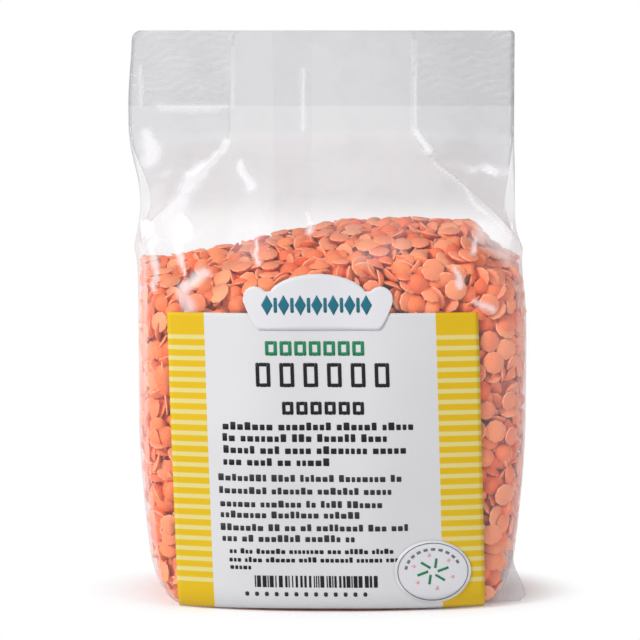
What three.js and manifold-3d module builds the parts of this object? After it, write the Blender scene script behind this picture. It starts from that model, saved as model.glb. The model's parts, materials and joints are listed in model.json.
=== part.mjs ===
// A clear side-gusset bag of split red lentils, standing on its flat base, with a paper label,
// a scalloped badge over the label's top edge and a small oval sticker near its lower corner.
// Millimetres, +Z up. The labelled front faces -Y. The origin is the middle of the flat base.

import * as THREE from "three";
import { mergeVertices } from "three/addons/utils/BufferGeometryUtils.js";
import Module from "manifold-3d";

const wasm = await Module();
wasm.setup();

const { clamp, lerp, smoothstep } = THREE.MathUtils;

// The bag's heights, from the base up
const bagHeight = 121.3;
const sealBottom = 105.3;
const collarBottom = 98; // the film is pressed flat from here up, and sealed from sealBottom
const fillHeight = 75; // the shoulders start here, where the lentils end

// The bag's widths and depths
const flatHalfWidth = 41.3; // half the front panel, pressed flat
const filledHalfWidth = 38.2; // the same panel, bowed over the lentils
const tuck = 21.8; // how far each side gusset folds in at the collar
const cornerDepth = 17; // from the middle plane to a corner crease, when filled
const frontBulge = 5.5; // how far a panel bows out past its corner creases
const sideBulge = 3.6;
const sealShift = -2.4; // the pressed top sits a little to the left of the filled body
const sealHalfThickness = 0.5;
const wingThickness = 0.6; // panel and gusset film lying together at a shoulder

// The rounding where the walls turn under into the base
const sideRound = { across: 4, up: 6 };
const panelRound = { across: 3.2, up: 5 };
const sideTaper = { across: 3.3, up: 37, power: 1.5 };
const topCorner = { left: 2, right: 0.8 }; // radii

// The film corner that stands out empty at the lower right
const ear = { bottom: 0.5, top: 11.5, inner: 29, outer: 41.2, neck: 38.4, thickness: 0.8 };

// The back seam's flap, folded flat to one side
const seam = { left: -13, right: -4.5, bottom: 5, thickness: 0.6 };

// Soft folds in the slack film over the lentils: a line, its half width and its rise
const folds = [
  { from: [-21.8, 97.6], to: [-33, 85], width: 2.6, rise: 0.9 },
  { from: [-40, 100], to: [-34.5, 92], width: 2.4, rise: 0.8 },
  { from: [-33, 85], to: [-31.5, 70], width: 2.4, rise: -0.8 },
  { from: [-20, 95], to: [-15.8, 89], width: 2.2, rise: 0.7 },
  { from: [17.6, 99], to: [20.6, 94.4], width: 2.2, rise: 0.8 },
  { from: [20.6, 94.4], to: [36.3, 81.7], width: 2.6, rise: 1.0 },
];

const paper = { gap: 0.32, thickness: 0.3 };
const label = { halfWidth: 32.2, bottom: 0.9, top: 62.8, centre: -2.1, lean: 2 };
const badge = { centre: -2.9, bottom: 59.4, footHalf: 12.4, halfWidth: 15.4, lobeHeight: 65.8 };
const sticker = { centre: 20.9, middle: 8.7, halfWidth: 8, halfHeight: 6.6 };

// How much of a round inset is left at a height above the base
function roundInset({ across, up }, z) {
  const t = clamp(1 - z / up, 0, 1);
  return across * (1 - Math.sqrt(1 - t * t));
}

const swell = (z, centre, spread) => Math.exp(-(((z - centre) / spread) ** 2));

// 0 at the fill line and 1 where the collar starts
const shoulder = (z) => clamp((z - fillHeight) / (collarBottom - fillHeight), 0, 1);

const halfWidth = (z) => lerp(filledHalfWidth, flatHalfWidth, shoulder(z));
const shift = (z) => sealShift * shoulder(z);

function sideInset(z) {
  const { across, up, power } = sideTaper;
  return roundInset(sideRound, z) + across * clamp(1 - z / up, 0, 1) ** power;
}

function leftEdge(z) {
  const waist = 0.8 * swell(z, 89, 6) - 0.9 * swell(z, 78, 5);
  const drawnIn = waist + 0.9 * smoothstep(z, sealBottom, bagHeight) + cornerInset(topCorner.left, z);
  return shift(z) - halfWidth(z) + drawnIn + sideInset(z);
}

function rightEdge(z) {
  const waist = 0.3 * swell(z, 86, 7) + 1.1 * swell(z, 73, 8);
  const drawnIn = waist + cornerInset(topCorner.right, z);
  return shift(z) + halfWidth(z) - drawnIn - sideInset(z);
}

// The seal's two top corners are a little rounded
const cornerInset = (radius, z) => roundInset({ across: radius, up: radius }, bagHeight - z);

// How far the bag has closed between the filled body, 0, and the pressed collar, 1
const closing = (z) => shoulder(z) ** 2 * (1.6 - 0.6 * shoulder(z));

// Half the distance between the front and back corner creases
function cornerHalf(z) {
  const filled = cornerDepth - 0.9 * smoothstep(z, 40, fillHeight);
  return lerp(filled, sealHalfThickness, closing(z));
}

const panelBulge = (z) => frontBulge * (0.72 + 0.28 * swell(z, 32, 28)) * (1 - closing(z)) ** 1.3;

// The flat top of the bag isn't quite flat: it waves and leans back a little
function drift(x, z) {
  const rise = smoothstep(z, fillHeight, bagHeight);
  return rise * (1.3 + 0.9 * Math.sin((Math.PI * (x + 12)) / 58));
}

function lumps(x, z) {
  const fade = smoothstep(z, 0, 14) * (1 - smoothstep(z, fillHeight - 8, collarBottom));
  return 0.35 * fade * Math.sin(x / 6.1 + z / 9.3) * Math.cos(z / 7.4 - x / 11);
}

// The highest ridge and the deepest crease at a place, so that folds which meet don't pile up
function foldRise(x, z) {
  const heights = folds.map(({ from, to, width, rise }) => {
    const run = [to[0] - from[0], to[1] - from[1]];
    const along = ((x - from[0]) * run[0] + (z - from[1]) * run[1]) / (run[0] ** 2 + run[1] ** 2);
    const t = clamp(along, 0, 1);
    const away = Math.hypot(x - from[0] - t * run[0], z - from[1] - t * run[1]);
    return rise * Math.exp(-((away / width) ** 2));
  });
  const fade = 1 - smoothstep(z, collarBottom - 6, collarBottom + 1);
  return fade * (Math.max(0, ...heights) + Math.min(0, ...heights));
}

// How far a panel stands from the middle plane, at a place across its width
function panelDepth(x, z) {
  const middle = (leftEdge(z) + rightEdge(z)) / 2;
  const across = clamp((2 * (x - middle)) / (rightEdge(z) - leftEdge(z)), -1, 1);
  const bow = panelBulge(z) * (1 - Math.abs(across) ** 2.4);
  return cornerHalf(z) + bow + lumps(x, z) * (1 - across ** 4);
}

const frontY = (x, z) => roundInset(panelRound, z) - panelDepth(x, z) + drift(x, z) - foldRise(x, z);
const backY = (x, z) => panelDepth(-x, z) - roundInset(panelRound, z) + drift(x, z);

// A closed solid from rings of points, one ring above the other, with flat ends
function loft(rings) {
  const n = rings[0].length;
  const positions = rings.flat(2);
  const index = [];
  for (let row = 0; row + 1 < rings.length; row++) {
    for (let i = 0; i < n; i++) {
      const a = row * n + i;
      const b = row * n + ((i + 1) % n);
      index.push(a, b, b + n, a, b + n, a + n);
    }
  }
  const capEnd = (row, flip) => {
    const outline = rings[row].map(([x, y]) => new THREE.Vector2(x, y));
    for (const [a, b, c] of THREE.ShapeUtils.triangulateShape(outline, [])) {
      index.push(row * n + a, row * n + (flip ? c : b), row * n + (flip ? b : c));
    }
  };
  capEnd(0, true);
  capEnd(rings.length - 1, false);
  return new THREE.BufferGeometry()
    .setAttribute("position", new THREE.Float32BufferAttribute(positions, 3))
    .setIndex(index);
}

function toSolid(geometry) {
  const bare = new THREE.BufferGeometry().setAttribute("position", geometry.getAttribute("position"));
  if (geometry.index) bare.setIndex(geometry.index);
  const merged = mergeVertices(bare, 1e-4);
  return new wasm.Manifold(
    new wasm.Mesh({
      numProp: 3,
      vertProperties: merged.attributes.position.array,
      triVerts: new Uint32Array(merged.index.array),
    }),
  );
}

function toGeometry(solid) {
  const { vertProperties, triVerts } = solid.getMesh();
  const geometry = new THREE.BufferGeometry()
    .setAttribute("position", new THREE.BufferAttribute(vertProperties, 3))
    .setIndex(new THREE.BufferAttribute(triVerts, 1));
  geometry.computeVertexNormals();
  return geometry;
}

const range = (count, place) => Array.from({ length: count + 1 }, (_, i) => place(i / count));

// Even steps from one height to another, without the last
const rise = (from, to, count) => range(count, (t) => lerp(from, to, t)).slice(0, -1);

const shoulderHeights = rise(fillHeight, collarBottom, 10);
const bagHeights = [
  0, 0.25, 0.7, 1.4, 2.4, 3.6, 5, 6.4,
  ...rise(8, fillHeight, 17),
  ...shoulderHeights,
  ...rise(collarBottom, sealBottom, 2),
  ...rise(sealBottom, bagHeight - 2, 3),
  ...[2, 1.3, 0.7, 0.25, 0].map((down) => bagHeight - down),
];

// How far the side gussets bow out between their corner creases
const sideBow = (z) => sideBulge * (1 - shoulder(z)) * smoothstep(z, -9, 10);

const sideSteps = 6;

// The bag's outline at one height: front panel, right side, back panel, left side
function bagRing(z) {
  const panelSteps = 20;
  const [left, right] = [leftEdge(z), rightEdge(z)];
  const bow = sideBow(z);
  const side = (edge, out) => {
    const [front, back] = [frontY(edge, z), backY(edge, z)];
    return range(sideSteps, (t) => [edge + out * bow * 4 * t * (1 - t), lerp(front, back, t), z]);
  };
  const front = range(panelSteps, (t) => lerp(left, right, t)).map((x) => [x, frontY(x, z), z]);
  const back = range(panelSteps, (t) => lerp(right, left, t)).map((x) => [x, backY(x, z), z]);
  const rightSide = side(right, 1).slice(1, -1);
  const leftSide = side(left, -1).reverse().slice(1, -1);
  return [...front, ...rightSide, ...back, ...leftSide];
}

// The hollow under a shoulder: from the fill line up, the side gusset folds in to a sharp middle crease
function gussetPocket(out) {
  const reach = 50;
  const close = collarBottom - 0.7;
  const ringAt = (z, clear) => {
    const t = clamp((z - fillHeight) / (close - fillHeight), 0, 1);
    const edge = out > 0 ? rightEdge(z) : leftEdge(z);
    const [front, back] = [frontY(edge, z) + wingThickness, backY(edge, z) - wingThickness];
    const gusset = range(sideSteps, (s) => {
      const bow = sideBulge * (1 - t) * 4 * s * (1 - s);
      const foldedIn = tuck * t ** 1.25 * (1 - Math.abs(2 * s - 1)) ** lerp(1.5, 1, t);
      return [edge + out * (bow - foldedIn + clear), lerp(front, back, s), z];
    });
    const ring = [[out * reach, front, z], ...gusset, [out * reach, back, z]];
    return out > 0 ? ring.reverse() : ring;
  };
  const mouth = ringAt(fillHeight - 0.6, 4);
  return loft([mouth, ...shoulderHeights.map((z) => ringAt(z, -0.3)), ringAt(close, -0.3)]);
}

// A thin slab between two outlines in the XZ plane, laid in the front or the back of the bag
function filmFlap(outline, yAt, thickness, rows) {
  return loft(
    range(rows, (t) => outline(t)).map(({ z, inner, outer }) => {
      const xs = range(3, (s) => lerp(inner, outer, s));
      const near = xs.map((x) => [x, yAt(x, z), z]);
      const far = xs.map((x) => [x, yAt(x, z) + thickness, z]).reverse();
      return [...near, ...far];
    }),
  );
}

function earFlap() {
  const outline = (t) => {
    const flare = 1 - smoothstep(t, 0.08, 0.86);
    return {
      z: lerp(ear.bottom, ear.top, t),
      inner: lerp(ear.inner, ear.neck - 3, t),
      outer: lerp(ear.neck, ear.outer, flare) - 0.9 * (1 - smoothstep(t, 0, 0.1)),
    };
  };
  return filmFlap(outline, (x) => 0.12 * (x - ear.inner) - cornerDepth + 2.6, ear.thickness, 7);
}

function seamFlap() {
  const outline = (t) => ({ z: lerp(seam.bottom, bagHeight - 0.2, t), inner: seam.left, outer: seam.right });
  return filmFlap(outline, (x, z) => backY(x, z) - 0.1, seam.thickness, 26);
}

function bagGeometry() {
  const outside = toSolid(loft(bagHeights.map(bagRing)));
  const bag = outside
    .subtract(toSolid(gussetPocket(1)))
    .subtract(toSolid(gussetPocket(-1)))
    .add(toSolid(earFlap()))
    .add(toSolid(seamFlap()));
  return toGeometry(bag);
}

// A thin sheet that follows the front of the bag: columns across, each from its low to its high edge.
// Its rows lie closer together near the foot, where the bag turns under.
function frontSheet({ columns, rows, span, low, high, lift, crowding = 1 }) {
  const step = 0.05;
  const normalAt = (x, z) => {
    const dx = (frontY(x + step, z) - frontY(x - step, z)) / (2 * step);
    const dz = (frontY(x, z + step) - frontY(x, z - step)) / (2 * step);
    return new THREE.Vector3(dx, -1, dz).normalize();
  };
  const skin = (height) =>
    range(columns, (s) => lerp(...span, s)).map((u) =>
      range(rows, (t) => {
        const z = lerp(low(u), high(u), t ** crowding);
        const x = u + label.lean * (1 - z / label.top) + label.centre;
        const place = new THREE.Vector3(x, frontY(x, z), z);
        return place.addScaledVector(normalAt(x, z), height).toArray();
      }),
    );
  const outer = skin(lift + paper.thickness);
  const inner = skin(lift);
  const rings = outer.map((column, i) => [...column, ...inner[i].slice().reverse()]);
  return sheetSolid(rings, rows);
}

// Joins ring to ring across the sheet and closes both ends with strips
function sheetSolid(rings, rows) {
  const n = rings[0].length;
  const index = [];
  rings.slice(1).forEach((_, column) => {
    for (let i = 0; i < n; i++) {
      const a = column * n + i;
      const b = column * n + ((i + 1) % n);
      index.push(a, b + n, b, a, a + n, b + n);
    }
  });
  const end = (rings.length - 1) * n;
  for (let i = 0; i < rows; i++) {
    const [a, b, c, d] = [i, i + 1, n - 2 - i, n - 1 - i];
    index.push(a, b, c, a, c, d);
    index.push(end + a, end + c, end + b, end + a, end + d, end + c);
  }
  const geometry = new THREE.BufferGeometry()
    .setAttribute("position", new THREE.Float32BufferAttribute(rings.flat(2), 3))
    .setIndex(index);
  geometry.computeVertexNormals();
  return geometry;
}

function labelGeometry() {
  return frontSheet({
    columns: 16,
    rows: 20,
    span: [-label.halfWidth, label.halfWidth],
    low: () => label.bottom,
    high: () => label.top,
    lift: paper.gap,
    crowding: 1.5,
  });
}

// The badge's top edge: a wide arch with a smaller round lobe at each side
function badgeTop(u) {
  const arch = { half: 10.2, rise: 5.1 };
  const lobe = { middle: 12.9, radius: 2.5 };
  const fromMiddle = Math.abs(u);
  const overArch = arch.rise * Math.sqrt(Math.max(0, 1 - (u / arch.half) ** 2));
  const overLobe = Math.sqrt(Math.max(0, lobe.radius ** 2 - (fromMiddle - lobe.middle) ** 2));
  return badge.lobeHeight + Math.max(overArch, overLobe, fromMiddle < lobe.middle ? 1.5 : 0);
}

// The badge's lower edge: a straight foot with sides that slope out to the lobes
function badgeFoot(u) {
  const outside = clamp((Math.abs(u) - badge.footHalf) / (badge.halfWidth - badge.footHalf), 0, 1);
  return lerp(badge.bottom, badge.lobeHeight - 0.6, outside ** 1.4);
}

function badgeGeometry() {
  const offset = badge.centre - label.centre;
  return frontSheet({
    columns: 24,
    rows: 4,
    span: [offset - badge.halfWidth, offset + badge.halfWidth],
    low: (u) => badgeFoot(u - offset),
    high: (u) => badgeTop(u - offset),
    lift: 2 * paper.gap + paper.thickness,
  });
}

function stickerGeometry() {
  const offset = sticker.centre - label.centre - label.lean * (1 - sticker.middle / label.top);
  const half = (u) => {
    const across = clamp((u - offset) / sticker.halfWidth, -1, 1);
    return Math.max(0.4, sticker.halfHeight * Math.sqrt(1 - across * across));
  };
  return frontSheet({
    columns: 16,
    rows: 4,
    span: [offset - sticker.halfWidth, offset + sticker.halfWidth],
    low: (u) => sticker.middle - half(u),
    high: (u) => sticker.middle + half(u),
    lift: 2 * paper.gap + paper.thickness,
  });
}

function piece(name, geometry, color, roughness) {
  const mesh = new THREE.Mesh(geometry, new THREE.MeshStandardMaterial({ color, roughness, metalness: 0 }));
  mesh.name = name;
  return mesh;
}

const lentilBag = new THREE.Group();
lentilBag.add(
  piece("bag", bagGeometry(), "#ee8a62", 0.35),
  piece("label", labelGeometry(), "#e6e5e9", 0.55),
  piece("badge", badgeGeometry(), "#eceef0", 0.5),
  piece("sticker", stickerGeometry(), "#e2e4e8", 0.5),
);

export default lentilBag;
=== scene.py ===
"""A clear side-gusset bag of split red lentils, dressed for its studio picture."""

import json
import math

import bpy
import numpy as np
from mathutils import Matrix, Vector

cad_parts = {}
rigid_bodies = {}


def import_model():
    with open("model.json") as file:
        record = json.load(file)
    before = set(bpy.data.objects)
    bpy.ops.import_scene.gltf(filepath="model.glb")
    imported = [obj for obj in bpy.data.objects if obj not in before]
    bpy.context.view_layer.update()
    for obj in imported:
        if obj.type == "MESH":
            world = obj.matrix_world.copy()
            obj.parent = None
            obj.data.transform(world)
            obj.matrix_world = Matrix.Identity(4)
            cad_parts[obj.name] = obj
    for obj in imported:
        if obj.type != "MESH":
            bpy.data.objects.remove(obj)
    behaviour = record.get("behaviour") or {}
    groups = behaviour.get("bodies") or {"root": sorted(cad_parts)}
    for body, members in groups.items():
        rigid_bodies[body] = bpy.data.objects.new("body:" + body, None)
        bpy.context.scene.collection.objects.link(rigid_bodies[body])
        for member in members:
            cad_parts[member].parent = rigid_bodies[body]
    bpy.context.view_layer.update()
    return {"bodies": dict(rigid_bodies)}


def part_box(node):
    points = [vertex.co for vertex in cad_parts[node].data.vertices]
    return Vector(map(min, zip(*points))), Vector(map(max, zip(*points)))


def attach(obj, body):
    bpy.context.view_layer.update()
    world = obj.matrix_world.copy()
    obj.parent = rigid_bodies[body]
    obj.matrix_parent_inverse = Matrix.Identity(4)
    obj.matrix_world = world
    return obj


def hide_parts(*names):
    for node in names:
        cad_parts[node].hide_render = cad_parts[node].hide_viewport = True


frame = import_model()
root = list(frame["bodies"])[0]
MM = 0.001

# The bag. Clear film about 0.05 mm thick, formed into a tube with a seam up its back and a tucked
# gusset in each side. It is filled, pressed flat over the contents and heat sealed in a ribbed band.

bag_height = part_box("bag")[1].z / MM
seal_bottom = 105.3
collar_bottom = 98.0  # pressed flat from here up
fill_height = 75.0  # the shoulders start here
flat_half_width = 41.3
filled_half_width = 38.2
tuck = 21.8  # how far each gusset folds in at the collar
corner_depth = 17.0
front_bulge = 5.5
side_bulge = 3.6
seal_shift = -2.4
seal_half_thickness = 0.5
foot_taper, foot_taper_height = 3.3, 37  # how far the sides draw in towards the foot
front_creases, back_creases = 3, 8  # seeds, so that each panel is creased in its own way

# Each fold: from, to, width and rise, as places across and up the front
folds = [
    ((-21.8, 97.6), (-33, 85), 2.6, 0.9),
    ((-40, 100), (-34.5, 92), 2.4, 0.8),
    ((-33, 85), (-31.5, 70), 2.4, -0.8),
    ((-20, 95), (-15.8, 89), 2.2, 0.7),
    ((17.6, 99), (20.6, 94.4), 2.2, 0.8),
    ((20.6, 94.4), (36.3, 81.7), 2.6, 1.0),
]

# Each gleam, a painted highlight where creased film would shine white in the lights: from, to, half width
# at each end and strength
painted_gleams = [
    ((-22.6, 97.3), (-30.5, 88.5), 0.8, 2.0, 0.65),
    ((-30.5, 88.5), (-34, 80.5), 2.0, 2.6, 0.45),
    ((-37, 87), (-36, 78.5), 1.8, 2.2, 0.18),
    ((-32.2, 80), (-31, 70.5), 1.5, 0.2, 0.7),
    ((-37.2, 77), (-36.8, 67), 1.0, 0.6, 0.6),
    ((-19.6, 94), (-17.2, 88.8), 0.5, 1.3, 0.7),
    ((-39.6, 99.5), (-38.6, 94.5), 1.2, 2.0, 0.6),
    ((-26.8, 71.2), (-30.2, 67.5), 1.2, 1.4, 0.6),
    ((-31.2, 67.8), (-30, 63.3), 1.0, 1.6, 0.5),
    ((-15.5, 77.8), (-15.4, 72.7), 0.3, 0.6, 0.75),
    ((-4.6, 83.6), (-5, 79.9), 0.3, 0.7, 0.7),
    ((-39.9, 76), (-40.3, 40), 1.4, 1.0, 0.3),
    ((18, 99.8), (19.9, 95.8), 0.5, 1.0, 0.8),
    ((21.2, 94.5), (36.6, 78.2), 0.2, 0.6, 0.5),
    ((29.5, 92.2), (37.6, 91.6), 0.8, 0.9, 0.4),
    ((29.7, 78.3), (29.4, 75.7), 0.4, 0.6, 0.7),
    ((24.9, 71.6), (26.7, 68), 0.5, 0.8, 0.7),
    ((29.3, 65.3), (33, 62.9), 0.6, 0.8, 0.65),
    ((31, 79.5), (37.4, 75.5), 2.4, 3.0, 0.5),
    ((38.9, 78), (39.6, 64), 1.2, 1.0, 0.5),
    ((-16, 87), (-17, 78), 3.5, 4.5, 0.16),
    ((6, 74), (14, 76.5), 1.6, 2.0, 0.12),
    ((-37.5, 105.3), (-22.4, 105.2), 0.3, 0.4, 0.6),
    ((-37, 104.4), (-24.5, 104.6), 0.3, 0.8, 0.4),
    ((-41, 105.5), (-41, 114), 0.4, 0.4, 0.4),
    ((-21.5, 105), (-21.5, 118), 0.4, 0.3, 0.35),
    ((-6.3, 100.6), (-6.3, 113), 0.5, 0.4, 0.6),
    ((17.5, 100), (17.5, 119), 0.4, 0.35, 0.6),
]


def ease(value, low, high):
    """0 below low and 1 above high, smooth between."""
    t = np.clip((value - low) / (high - low), 0, 1)
    return t * t * (3 - 2 * t)


def blend(a, b, t):
    return a + (b - a) * t


def round_inset(across, up, z):
    """What is left of a rounded bottom edge at a height."""
    t = np.clip(1 - z / up, 0, 1)
    return across * (1 - np.sqrt(1 - t * t))


def panel_round(z):
    """How far the front and back panels curl in to the base."""
    return round_inset(3.2, 5, z)


def swell(z, centre, spread):
    return np.exp(-(((z - centre) / spread) ** 2))


def shoulder(z):
    """0 where the shoulders start and 1 where the collar starts."""
    return np.clip((z - fill_height) / (collar_bottom - fill_height), 0, 1)


def half_width(z):
    return blend(filled_half_width, flat_half_width, shoulder(z))


def side_inset(z):
    """How far the sides curl and taper in to the base."""
    return round_inset(4, 6, z) + foot_taper * np.clip(1 - z / foot_taper_height, 0, 1) ** 1.5


def left_edge(z):
    drawn_in = 0.8 * swell(z, 89, 6) - 0.9 * swell(z, 78, 5) + 0.9 * ease(z, seal_bottom, bag_height)
    drawn_in = drawn_in + round_inset(2, 2, bag_height - z)
    return seal_shift * shoulder(z) - half_width(z) + drawn_in + side_inset(z)


def right_edge(z):
    drawn_in = 0.3 * swell(z, 86, 7) + 1.1 * swell(z, 73, 8)
    drawn_in = drawn_in + round_inset(0.8, 0.8, bag_height - z)
    return seal_shift * shoulder(z) + half_width(z) - drawn_in - side_inset(z)


def closing(z):
    """0 in the filled body and 1 in the pressed collar."""
    return shoulder(z) ** 2 * (1.6 - 0.6 * shoulder(z))


def drift(x, z):
    """The flat top waves and leans back a little."""
    return ease(z, fill_height, bag_height) * (1.3 + 0.9 * np.sin(np.pi * (x + 12) / 58))


def lumps(x, z):
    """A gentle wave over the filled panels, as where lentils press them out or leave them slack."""
    fade = ease(z, 0, 14) * (1 - ease(z, fill_height - 8, collar_bottom))
    return 0.35 * fade * np.sin(x / 6.1 + z / 9.3) * np.cos(z / 7.4 - x / 11)


def panel_depth(x, z):
    """How far a panel stands out from the bag's middle plane."""
    left, right = left_edge(z), right_edge(z)
    across = np.clip((2 * x - left - right) / (right - left), -1, 1)
    filled = corner_depth - 0.9 * ease(z, 40, fill_height)
    corner = blend(filled, seal_half_thickness, closing(z))
    bulge = front_bulge * (0.72 + 0.28 * swell(z, 32, 28)) * (1 - closing(z)) ** 1.3
    return corner + bulge * (1 - np.abs(across) ** 2.4) + lumps(x, z) * (1 - across**4)


def front_y(x, z):
    return panel_round(z) - panel_depth(x, z) + drift(x, z)


def back_y(x, z):
    return panel_depth(-x, z) - panel_round(z) + drift(x, z)


def side_reach(s, z):
    """How far a gusset stands out past its creases, from s = 0 at the front to 1 at the back."""
    folding = np.clip((z - fill_height) / (collar_bottom - 0.7 - fill_height), 0, 1)
    bow = side_bulge * ease(z, -9, 10) * (1 - folding) * 4 * s * (1 - s)
    return bow - tuck * folding**1.25 * (1 - np.abs(2 * s - 1)) ** blend(1.5, 1, folding)


def fold_rise(x, z):
    """How far the front panel's folds stand out."""
    ridges, grooves = 0, 0
    for (x0, z0), (x1, z1), width, rise in folds:
        run = np.array([x1 - x0, z1 - z0])
        t = np.clip(((x - x0) * run[0] + (z - z0) * run[1]) / (run @ run), 0, 1)
        away = np.hypot(x - x0 - t * run[0], z - z0 - t * run[1])
        line = rise * np.exp(-((away / width) ** 2))
        ridges, grooves = np.maximum(ridges, line), np.minimum(grooves, line)
    return (ridges + grooves) * (1 - ease(z, collar_bottom - 6, collar_bottom + 1))


def creases(u, v, count, spacing, seed):
    """Sharp random fold lines, as in film that has been handled, from 0 to 1."""
    rng = np.random.default_rng(seed)
    height = 0
    for _ in range(count):
        angle, phase, sway = rng.uniform(0, np.pi), rng.uniform(0, 9), rng.uniform(0.2, 0.7)
        along = (u * np.cos(angle) + v * np.sin(angle)) / (spacing * rng.uniform(0.7, 1.6)) + phase
        bend = sway * np.sin((v * np.cos(angle) - u * np.sin(angle)) / (2.3 * spacing) + phase)
        height = height + (1 - np.abs(np.sin(np.pi * (along + bend)))) ** 3
    return height / count


def rib_phase(x, z):
    """Where a place lies between one wrinkle of the seal and the next."""
    return (z - 0.2 * x + 0.7 * np.sin(x / 4.3) + 0.6 * np.sin(x / 1.7 + z / 2.3)) / 1.7


def film_relief(x, z, seed):
    """What handling has left in a panel, in millimetres outwards."""
    headspace = ease(z, fill_height - 8, fill_height + 6)
    headspace = headspace * (1 - ease(z, collar_bottom - 3, collar_bottom + 2))
    collar = ease(z, collar_bottom - 2, collar_bottom + 1)
    loose = 0.9 * headspace * creases(x, z, 4, 26, seed)
    small = (0.2 + 0.25 * ease(z, 48, 78)) * ease(z, 4, 20) * creases(x, z, 5, 9, seed + 1)
    tucked = 0.25 + 0.75 * ease(np.abs(x + 2), 16, 20)  # more layers, so more wrinkles, at the sides
    ribs = 0.04 * tucked * ease(z, seal_bottom - 0.3, seal_bottom + 0.3)
    ribs = ribs * np.sin(2 * np.pi * rib_phase(x, z))
    return (loose + small) * (1 - 0.75 * collar) + ribs


def painted_gleam(x, z):
    """How much painted highlight the front has at a place, from 0 to 1: white streaks along its creases and
    the seal's wrinkles.
    """
    free = 1 - ease(z, collar_bottom, collar_bottom + 4)
    x = x + free * (0.35 * np.sin(z / 1.3) + 0.2 * np.sin(z / 0.6 + x))
    z = z + free * 0.4 * np.sin(x / 1.1)
    painted_shine = np.zeros(np.shape(x))
    for (x0, z0), (x1, z1), half_from, half_to, strength in painted_gleams:
        run = np.array([x1 - x0, z1 - z0])
        t = np.clip(((x - x0) * run[0] + (z - z0) * run[1]) / (run @ run), 0, 1)
        away = np.hypot(x - x0 - t * run[0], z - z0 - t * run[1]) / blend(half_from, half_to, t)
        painted_shine = np.maximum(painted_shine, strength * (1 - ease(away, 0.3, 1.5)))
    patchy = 0.5 + 0.5 * np.sin(x / 2.9 + z / 1.3) * np.sin(z / 3.1 - x / 4)
    # Painted highlights along the seal's wrinkles
    seal_wrinkle_highlights = 0.2 * patchy * ease(np.sin(2 * np.pi * rib_phase(x, z)), 0, 1)
    seal_wrinkle_highlights = seal_wrinkle_highlights * ease(np.abs(x + 2), 17, 21)
    return np.maximum(painted_shine, seal_wrinkle_highlights * ease(z, seal_bottom, seal_bottom + 0.6))


# The heights of the film's rings: close together at the curled foot and at the rounded top corners
foot_curl, top_curl, row_pitch = 5, 2, 0.55
film_rows = np.concatenate([
    foot_curl * (1 - np.cos(np.linspace(0, np.pi / 2, 9)))[:-1],
    np.arange(foot_curl, bag_height - top_curl, row_pitch),
    bag_height - top_curl * (1 - np.sin(np.linspace(0, np.pi / 2, 7))),
])
panel_steps, gusset_steps = 148, 32


def film_rings(z):
    """Rings of points up the bag: front panel, right gusset, back panel, left gusset."""
    left, right = left_edge(z), right_edge(z)
    c = np.linspace(0, 1, panel_steps + 1)[None, :]
    s = np.linspace(0, 1, gusset_steps + 1)[None, 1:-1]
    front_x, back_x = blend(left, right, c), blend(right, left, c)
    front = front_y(front_x, z) - fold_rise(front_x, z) - film_relief(front_x, z, front_creases)
    back = back_y(back_x, z) + film_relief(back_x, z, back_creases)
    wrinkle = 0.5 * ease(z, 60, 84) * creases(40 * s, z, 4, 11, 5) * 4 * s * (1 - s) * (1 - closing(z))
    right_x = right + side_reach(s, z) + wrinkle
    left_x = left - side_reach(s, z) - wrinkle
    rows = [
        (front_x, front),
        (right_x, blend(front[:, -1:], back[:, :1], s)),
        (back_x, back),
        (left_x[:, ::-1], blend(front[:, :1], back[:, -1:], s)[:, ::-1]),
    ]
    x = np.concatenate([row[0] for row in rows], axis=1)
    y = np.concatenate([row[1] for row in rows], axis=1)
    return np.stack([x, y], axis=-1)


def film_body():
    """The film's rings, softened where the shoulders bend into the flat collar."""
    z = film_rows[:, None]
    softness = 1.6 * swell(z, collar_bottom, 8)
    places = np.mean([film_rings(z + step * softness) for step in (-2, -1, 0, 1, 2)], axis=0)
    return np.concatenate([places, np.broadcast_to(z[..., None], places.shape[:2] + (1,))], axis=-1)


def joined_rings(rings):
    """Faces of a closed loft, with a many-sided face at each end."""
    rows, n = rings.shape[:2]
    place = np.arange(rows * n).reshape(rows, n)
    nearby = np.roll(place, -1, axis=1)
    faces = np.stack([place[:-1], nearby[:-1], nearby[1:], place[1:]], axis=-1).reshape(-1, 4).tolist()
    return rings.reshape(-1, 3), faces + [place[0, ::-1].tolist(), place[-1].tolist()]


def flap(rows, columns, outline, y_at, thickness):
    """A thin slab of film: an outline of z, inner and outer x, laid at a depth."""
    z, inner, outer = (np.asarray(v)[:, None] for v in outline(np.linspace(0, 1, rows)))
    x = blend(inner, outer, np.linspace(0, 1, columns)[None, :])
    z = np.broadcast_to(z, x.shape)
    near = np.stack([x, y_at(x, z), z], axis=-1)
    far = near + [0, thickness, 0]
    return joined_rings(np.concatenate([near, far[:, ::-1]], axis=1))


def ear_outline(t):
    """The empty film corner at the lower right, widest near the foot."""
    flare = 1 - ease(t, 0.08, 0.86)
    outer = blend(38.4, 41.2, flare) - 1.2 * (1 - ease(t, 0, 0.12))
    return blend(0.5, 11.5, t), blend(29, 35.4, t), outer


def ear_y(x, z):
    """The corner leans back as it stands out from the bag."""
    return 0.12 * (x - 29) - 14.4 + 0.3 * creases(x, z, 3, 4, 21)


def seam_outline(t):
    """The flap of the back seam, folded flat to one side."""
    wave = 0.25 * np.sin(9 * t)
    return blend(5, bag_height - 0.2, t), -13 + wave, np.full(len(t), -4.5)


def seam_y(x, z):
    """The seam lies just behind the back panel and follows its creases."""
    return back_y(x, z) + 0.35 + film_relief(x, z, back_creases)


def join(parts):
    """Several (points, faces) as one, in metres."""
    points, faces, start = [], [], 0
    for part_points, part_faces in parts:
        points.append(np.asarray(part_points))
        faces += [[start + i for i in face] for face in part_faces]
        start += len(points[-1])
    return np.concatenate(points) * MM, faces


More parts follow.
